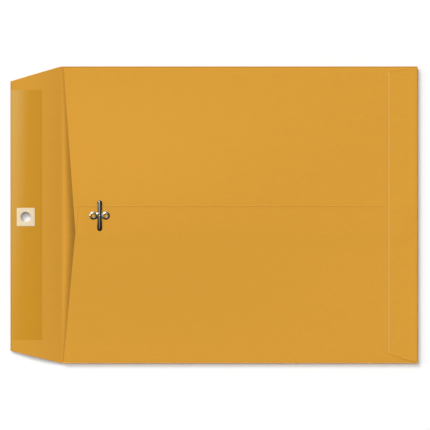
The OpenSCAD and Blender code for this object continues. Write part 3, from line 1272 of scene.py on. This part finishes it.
@dataclass
class FlapFittings:
    """What lies on the inner face of the flap: the gum strip and the patch round the eyelet."""

    relief: Relief
    gum: GumFinish
    board: PatchFinish
    gap: float = 0.02
    gum_near: float = -16.0
    gum_far: float = -42.7
    gum_half: float = 107.0
    gum_t: float = 0.05
    notch_half: float = 8.1
    gum_cell: Point = (1.4, 2.0)
    border_waver: Point = (0.21, 0.25)
    end_waver: Point = (0.35, 0.5)
    patch_w: float = 15.6
    patch_t: float = 0.25
    patch_round: float = 0.05
    hole_points: int = 64

    def build(self) -> list[bpy.types.Object]:
        """Makes the strip and the patch, dresses them and puts them on the flap."""
        return [self._strip(), self._patch()]

    def _lay(self, piece: bpy.types.Object, thickness: float) -> None:
        """Lays a flat piece on the flap's paper and gives it its thickness.

        Args:
            piece: The flat piece.
            thickness: Its thickness, in millimetres.
        """
        base = self.relief.paper + self.gap + thickness
        Bench.move(piece, lambda p: at(*along(p), self.relief.flap(*along(p)) + base))
        Bench.thicken(piece, thickness * MM)

    def _strip(self) -> bpy.types.Object:
        """Gum strip, left bare round the patch, with the uneven border of a rolled film."""
        strip = Bench.grid(
            "flap_gum_strip",
            at(self.gum_far, -self.gum_half),
            at(self.gum_near, self.gum_half),
            self.gum_cell,
        )
        middle = at(*self.relief.eyelet)
        reach = self.notch_half * MM
        for side in (-1, 1):
            for axis in (ALONG, ACROSS):
                Bench.cut(strip, middle + axis * (side * reach), axis)
        Bench.drop(strip, lambda p: max(abs(p.x - middle.x), abs(p.y - middle.y)) < reach)

        def waver(place: Vector) -> Vector:
            """Moves the strip's inner border and its ends off their straight lines."""
            s, y = along(place)
            drift = noise.noise(Vector((y * self.border_waver[0], 3.0, 0.0))) * self.border_waver[1]
            if abs(s - self.gum_near) < NEAR:
                s += drift
            if abs(abs(y) - self.gum_half) < NEAR:
                y += noise.noise(Vector((s * self.end_waver[0], 9.0, y))) * self.end_waver[1]
            return at(s, y)

        Bench.move(strip, waver)
        self._lay(strip, self.gum_t)
        Bench.coat(strip.data, self.gum.make())
        Bench.smooth(strip)
        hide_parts("flap_gum")
        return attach(strip, Body.FLAP.value)

    def _patch(self) -> bpy.types.Object:
        """Square patch with its eyelet hole, bridged from the square to the circle."""
        middle = at(*self.relief.eyelet)
        Bench.clear()
        bpy.ops.mesh.primitive_plane_add(size=self.patch_w * MM, location=middle)
        patch = Bench.start("eyelet_patch_board")
        Bench.pick(patch, everywhere)
        bpy.ops.mesh.delete(type="ONLY_FACE")
        bpy.ops.mesh.select_all(action="SELECT")
        bpy.ops.mesh.subdivide(number_cuts=self.hole_points // 4 - 1)
        bpy.ops.mesh.primitive_circle_add(
            vertices=self.hole_points, radius=self.relief.eyelet_r * MM, location=middle
        )
        bpy.ops.mesh.select_all(action="SELECT")
        bpy.ops.mesh.bridge_edge_loops(number_cuts=5, interpolation="LINEAR")
        bpy.ops.mesh.normals_make_consistent(inside=False)
        Bench.done()
        Bench.face_up(patch, patch.data.polygons[0])
        self._lay(patch, self.patch_t)
        Bench.soften(patch, self.patch_round * MM, 2, 50.0)
        Bench.coat(patch.data, self.board.make())
        Bench.smooth(patch)
        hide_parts("eyelet_patch")
        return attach(patch, Body.FLAP.value)


@dataclass
class Clasp:
    """Tinplate clasp: a base with two drawn eyes, a bridge and a saddle, and two domed prongs."""

    base_finish: TinFinish
    right_finish: TinFinish
    left_finish: TinFinish
    clasp_s: float = 33.5
    clasp_y: float = -0.7
    clasp_z: float = 6.71
    tin: float = 0.35
    eye_at: float = 5.4
    bead_at: float = 2.5
    bead_r: float = 1.0
    crest_at: float = 2.2
    crest_z: float = 0.78
    throat_z: float = 0.3
    slope_power: float = 1.1
    throat_power: float = 1.2
    barrel_low: float = -0.55
    clinch_r: float = 3.0
    clinch_drop: float = 0.1
    bridge_half: float = 2.75
    bridge_rise: float = 1.0
    ridge_y: float = 1.0
    web_t: float = 0.15
    web_lift: float = 0.02
    web_waist: float = 0.9
    groove_low: float = 0.4
    groove_x: Point = (0.9, 1.6)
    fall_low: float = 0.55
    fall_x: Point = (1.6, 2.8)
    saddle_half: float = 0.7
    saddle_drop: float = 0.6
    saddle_round: float = 0.12
    root_half: float = 1.6
    tip_half: float = 2.15
    prong_l: float = 13.1
    prong_droop: float = 0.45
    bend_y: float = 1.4
    bend_z: float = 0.885
    crown_z: float = 1.485
    dome_r: float = 3.289
    prong_t: float = 0.2
    prong_round: float = 0.07
    root_turn: float = 200.0
    smooth_to: float = 45.0

    def build(self) -> list[bpy.types.Object]:
        """Makes the base and both prongs, dresses them and puts them on their bodies."""
        right = self.right_finish.make()
        left = self.left_finish.make()
        return [
            self._base(self.base_finish.make()),
            self._prong("right_prong_blade", "right_prong", Body.RIGHT_PRONG, 1, right),
            self._prong("left_prong_blade", "left_prong", Body.LEFT_PRONG, -1, left),
        ]

    def _spot(self, x: float, y: float, z: float) -> Vector:
        """Place in the frame of a point given from the middle of the clasp, in millimetres."""
        return at(self.clasp_s + x, self.clasp_y + y, self.clasp_z + z)

    def _local(self, place: Vector) -> Vector:
        """A point of the frame, given from the middle of the clasp in millimetres."""
        return (place - self._spot(0, 0, 0)) / MM

    def _dome(self, x: float) -> float:
        """Height of the domed strip at a distance x from its middle line."""
        return self.crown_z - self.dome_r + math.sqrt(self.dome_r**2 - x**2)

    def _eye(self, side: int) -> bpy.types.Object:
        """One drawn eye: a rolled rim, a barrel through the paper and the flange clinched behind it.

        Args:
            side: -1 for the eye nearer the crease and 1 for the other.

        Returns:
            The eye.
        """
        middle = self._spot(side * self.eye_at, 0, 0)
        Bench.clear()
        bpy.ops.mesh.primitive_torus_add(
            major_segments=56,
            minor_segments=28,
            major_radius=self.bead_at * MM,
            minor_radius=self.bead_r * MM,
            location=middle,
        )
        eye = Bench.start("eye")
        Bench.cut(eye, middle, UPWARDS, Side.BEHIND)
        inner = (self.bead_at - self.bead_r) * MM

        def on_hole(place: Vector) -> bool:
            """Whether a point is on the lower border of the rim's inner wall."""
            off = place - middle
            return abs(off.z) < NEAR * MM and abs(math.hypot(off.x, off.y) - inner) < 0.05 * MM

        Bench.pick(eye, on_hole)
        for drop in (-self.barrel_low, self.clinch_drop):
            bpy.ops.mesh.extrude_region_move(TRANSFORM_OT_translate={"value": (0, 0, -drop * MM)})
        scale = self.clinch_r * MM / inner
        bpy.ops.transform.resize(value=(scale, scale, 1.0), center_override=middle)
        Bench.done()

        def draw(place: Vector) -> Vector:
            """Gives the rim its drawn section: a long outer slope, a crest and a steep throat."""
            off = (place - middle) / MM
            if off.z < -NEAR:
                return place
            radius = math.hypot(off.x, off.y)
            if radius > self.crest_at:
                share = (radius - self.crest_at) / (self.bead_at + self.bead_r - self.crest_at)
                height = self.crest_z * (1 - share**self.slope_power)
            else:
                share = (self.crest_at - radius) / (self.crest_at - self.bead_at + self.bead_r)
                height = self.crest_z - (self.crest_z - self.throat_z) * share**self.throat_power
            return Vector((place.x, place.y, middle.z + height * MM))

        Bench.move(eye, draw)
        Bench.thicken(eye, self.tin * MM)
        return eye

    def _bridge(self) -> bpy.types.Object:
        """Humped web that joins the two eyes under the saddle."""
        reach = self.eye_at - self.bead_at
        web = Bench.grid(
            "bridge",
            self._spot(-reach, -self.bridge_half, 0),
            self._spot(reach, self.bridge_half, 0),
            (0.2, 0.14),
        )

        def hump(place: Vector) -> Vector:
            """Arches the web across its width, with a groove under the saddle and a fall to each eye."""
            off = self._local(place)
            run = self.bridge_half - math.copysign(self.ridge_y, off.y - self.ridge_y)
            arch = math.sqrt(max(0.0, 1 - ((off.y - self.ridge_y) / run) ** 2))
            groove = 1 - (1 - self.groove_low) * (1 - between(abs(off.x), self.groove_x))
            fall = 1 - (1 - self.fall_low) * between(abs(off.x), self.fall_x)
            waist = self.web_waist + (1 - self.web_waist) * (off.x / reach) ** 2
            height = self.bridge_rise * arch * groove * fall + self.web_lift
            return self._spot(off.x, off.y * waist, height)

        Bench.move(web, hump)
        Bench.thicken(web, self.web_t * MM)
        return web

    def _saddle(self) -> bpy.types.Object:
        """Domed middle of the clasp, between the two bends, with its sides turned down."""
        strip = Bench.grid(
            "saddle",
            self._spot(-self.root_half, -self.saddle_half, 0),
            self._spot(self.root_half, self.saddle_half, 0),
            (0.22, 0.2),
        )

        def dome(place: Vector) -> Vector:
            """Lifts a point of the flat strip onto the dome."""
            off = self._local(place)
            return self._spot(off.x, off.y, self._dome(off.x))

        Bench.move(strip, dome)
        Bench.pick(strip, lambda p: abs(abs(self._local(p).x) - self.root_half) < NEAR)
        bpy.ops.mesh.extrude_region_move(TRANSFORM_OT_translate={"value": (0, 0, -self.saddle_drop * MM)})
        Bench.done()
        Bench.outwards(strip)
        Bench.face_up(strip, strip.data.polygons[0])
        Bench.thicken(strip, self.tin * MM)
        Bench.soften(strip, self.saddle_round * MM, 3, 40.0)
        return strip

    def _base(self, tin: bpy.types.Material) -> bpy.types.Object:
        """Stamped base: both eyes, the bridge and the saddle."""
        base = Bench.join(
            [self._eye(-1), self._eye(1), self._bridge(), self._saddle()], "clasp_base_stamping"
        )
        Bench.coat(base.data, tin)
        Bench.smooth(base, self.smooth_to)
        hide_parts("clasp_base")
        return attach(base, Body.ENVELOPE.value)

    def _prong(
        self, name: str, node: str, body: Body, side: int, tin: bpy.types.Material
    ) -> bpy.types.Object:
        """One domed prong that lies flat, with a rolled root.

        Args:
            name: Name of the piece.
            node: Name of the part that it replaces.
            body: Body that it rides on.
            side: 1 for the right prong and -1 for the left.
            tin: Its material.

        Returns:
            The prong.
        """
        blade = Bench.grid(
            name,
            self._spot(-1.0, 0.0, 0.0),
            self._spot(1.0, 1.0, 0.0),
            (0.125, 0.05),
        )
        tip_y = self.prong_l - self.tip_half

        def shape(place: Vector) -> Vector:
            """Takes a point of the unit sheet to the prong's tapered, round-tipped, domed plan."""
            off = self._local(place)
            share = off.x
            end = tip_y + self.tip_half * math.sqrt(max(0.0, 1 - share**2))
            y = self.bend_y + (end - self.bend_y) * off.y
            grow = clamp((y - self.bend_y) / (tip_y - self.bend_y))
            x = share * (self.root_half + (self.tip_half - self.root_half) * grow)
            off_line = math.hypot(x, max(0.0, y - tip_y))
            return self._spot(x, y, self._dome(min(off_line, self.tip_half)) - self.prong_droop * grow**2)

        Bench.move(blade, shape)
        Bench.roll(
            blade,
            lambda p: abs(self._local(p).y - self.bend_y) < NEAR,
            self._spot(0.0, self.bend_y, self.bend_z),
            -ALONG,
            math.radians(self.root_turn),
            10,
        )
        Bench.outwards(blade)
        Bench.face_up(blade, max(blade.data.polygons, key=lambda face: face.center.z))
        Bench.thicken(blade, self.prong_t * MM)
        Bench.soften(blade, self.prong_round * MM, 2, 55.0)
        if side < 0:
            Bench.take(blade)
            bpy.ops.transform.rotate(
                value=math.pi, orient_axis="Z", center_override=self._spot(0, 0, 0)
            )
            bpy.ops.object.transform_apply(location=True, rotation=True, scale=True)
        Bench.coat(blade.data, tin)
        Bench.smooth(blade, self.smooth_to)
        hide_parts(node)
        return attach(blade, body.value)


@dataclass
class Studio:
    """White table that runs up into a backdrop, a sky that is brightest overhead, two lamps and the camera.

    The view's width and middle, its clip, the height sharp_z that the width holds at, the table's radius and
    rim and the lamps' sizes are in metres.
    """

    view_w: float = 0.3681
    middle: Point = (-0.0208, -0.00015)
    lens: float = 200.0
    sensor: float = 36.0
    clip: Point = (0.05, 50.0)
    sharp_z: float = 0.001
    table_r: float = 9.0
    table_rim: tuple[Point, ...] = ((1.05, 0.1), (1.045, 0.25), (1.03, 0.45), (1.015, 0.6), (1.0, 0.8))
    table_white: Colour = (0.997, 0.997, 0.997)
    table_gap: float = 1.8
    sky_from: tuple[float, float, float] = (-0.07, 0.29, 0.954)
    sky_low: float = 0.03
    sky_high: float = 2.58
    sky_power: float = 8.0
    key_share: float = 0.40
    key_from: Point = (121.0, 36.5)
    key_size: Point = (15.0, 6.0)
    side_share: float = 0.09
    side_from: Point = (168.0, 31.0)
    side_size: Point = (6.0, 6.0)
    lamp_far: float = 25.0

    def build(self) -> None:
        """Sets up the table, the light and the camera."""
        self._table()
        self._sky()
        self._lamp("key", self.key_share, self.key_from, self.key_size)
        self._lamp("side", self.side_share, self.side_from, self.side_size)
        self._camera()
        bpy.context.scene.view_settings.view_transform = "Standard"

    def _table(self) -> None:
        """White table top, whose far border curves up."""
        Bench.clear()
        bpy.ops.mesh.primitive_circle_add(
            vertices=96, radius=self.table_r, fill_type="NGON", location=(0.0, 0.0, -self.table_gap * MM)
        )
        table = Bench.start("table_top")
        Bench.pick(table, everywhere)
        bpy.ops.mesh.inset(thickness=0.5)
        for reach, rise in self.table_rim:
            Bench.done()
            edge = max(math.hypot(point.co.x, point.co.y) for point in table.data.vertices) - 0.01
            Bench.pick(table, lambda place: math.hypot(place.x, place.y) > edge)
            bpy.ops.mesh.extrude_region_move(TRANSFORM_OT_translate={"value": (0.0, 0.0, rise)})
            bpy.ops.transform.resize(value=(reach, reach, 1.0))
        Bench.done()
        surface = Surface("white_table")
        soft = surface.noise((40.0, 40.0, 40.0), 2.0)
        surface.set(
            Base_Color=surface.tint(self.table_white, 0.999 + soft * 0.002),
            Roughness=0.9,
            Specular_IOR_Level=0.0,
        )
        Bench.coat(table.data, surface.material)
        Bench.smooth(table)

    def _sky(self) -> None:
        """Sky that is brightest nearly overhead."""
        world = bpy.data.worlds.new("sky")
        world.use_nodes = True
        nodes = Nodes(world.node_tree)
        toward = nodes.node("ShaderNodeTexCoord").outputs["Generated"]
        dot = nodes.node("ShaderNodeVectorMath", {"operation": "DOT_PRODUCT"}, {0: toward, 1: self.sky_from})
        up = nodes.wire(dot, "Value").most(0.0)
        back = nodes.tree.nodes["Background"]
        nodes.feed(back.inputs["Strength"], self.sky_low + up**self.sky_power * self.sky_high)
        back.inputs["Color"].default_value = (1.0, 1.0, 1.0, 1.0)
        bpy.context.scene.world = world

    def _lamp(self, name: str, share: float, source: Point, size: Point) -> None:
        """Adds a soft rectangular lamp that faces the envelope.

        Args:
            name: Name of the lamp.
            share: Light that it gives the table, of a white level of 1, were it small.
            source: Direction that it stands in, as azimuth and elevation in degrees.
            size: Its width and height, in metres.
        """
        turn, rise = (math.radians(angle) for angle in source)
        toward = Vector((math.cos(turn) * math.cos(rise), math.sin(turn) * math.cos(rise), math.sin(rise)))
        lamp = bpy.data.lights.new(name, "AREA")
        lamp.shape = "RECTANGLE"
        lamp.size, lamp.size_y = size
        lamp.energy = share * math.pi**2 * self.lamp_far**2 / math.sin(rise)
        holder = bpy.data.objects.new(name, lamp)
        holder.location = toward * self.lamp_far
        holder.rotation_euler = toward.to_track_quat("Z", "Y").to_euler()
        bpy.context.scene.collection.objects.link(holder)

    def _camera(self) -> None:
        """Camera straight overhead, with the photograph's framing."""
        lens = bpy.data.cameras.new("overhead")
        lens.lens = self.lens
        lens.sensor_width = self.sensor
        lens.clip_start, lens.clip_end = self.clip
        camera = bpy.data.objects.new("overhead", lens)
        camera.location = (*self.middle, self.view_w * self.lens / self.sensor + self.sharp_z)
        bpy.context.scene.collection.objects.link(camera)
        bpy.context.scene.camera = camera


def dress_hidden_gum(finish: GumFinish) -> None:
    """Gives the gum films between the papers their finish."""
    material = finish.make()
    for name in ("seam_gum", "bottom_gum"):
        Bench.coat(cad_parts[name].data, material)


def main() -> None:
    """Builds the whole scene."""
    logging.basicConfig(level=logging.INFO, format="%(message)s")
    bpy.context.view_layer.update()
    relief = Relief()
    kraft = linear(215, 155, 54)
    sub_assemblies = [
        PaperBlank(
            relief,
            # Painted light on one side fold, and painted shadow in front of the bottom flap's step.
            KraftFinish("kraft_outside", kraft, edge_dark_tone=0.42, fold_light_tone=0.6, step_shade_tone=0.05),
            KraftFinish(
                "kraft_inside",
                linear(218, 157, 55),
                # Painted shade on the flap.
                flap_shade_tone=0.075,
                # Painted shade in the mouth.
                mouth_shade_tone=0.13,
                depth_shade_tone=0.0264,
                edge_dark_tone=0.25,
                places=FLAT_PLACE,
            ),
            KraftFinish("kraft_front", kraft, places=FLAT_PLACE),
            # Painted highlight along the bottom flap's free edge.
            KraftFinish("kraft_bottom", kraft, edge_dark_tone=0.15, lip_s=relief.puff_end),
            CutEdgeFinish("kraft_cut_edge", linear(236, 196, 118)),
        ),
        FlapFittings(
            relief,
            GumFinish("flap_gum_film", linear(199, 140, 22), linear(210, 163, 80)),
            PatchFinish("patch_board", linear(229, 212, 176)),
        ),
        Clasp(
            # The tin finishes paint highlights with a bright copy of the tin, and shade with a dark copy.
            TinFinish(
                "tinplate_base",
                (0.58, 0.545, 0.44),
                (0.045, 0.039, 0.031),
                33.5,
                eye=(5.4, -0.7),
                rough=0.36,
            ),
            TinFinish(
                "tinplate_right",
                (0.27, 0.26, 0.24),
                (0.055, 0.048, 0.038),
                33.28,
                face=0.2,
                root_span=(2.4, 1.6),
            ),
            TinFinish("tinplate_left", (0.20, 0.195, 0.175), (0.045, 0.04, 0.031), 33.3),
        ),
    ]
    for sub_assembly in sub_assemblies:
        for piece in sub_assembly.build():
            LOG.info("%s: %s, %d faces", type(sub_assembly).__name__, piece.name, len(piece.data.polygons))
    dress_hidden_gum(GumFinish("hidden_gum_film", linear(201, 142, 40), linear(201, 142, 40)))
    Studio().build()


if __name__ == "__main__":
    main()
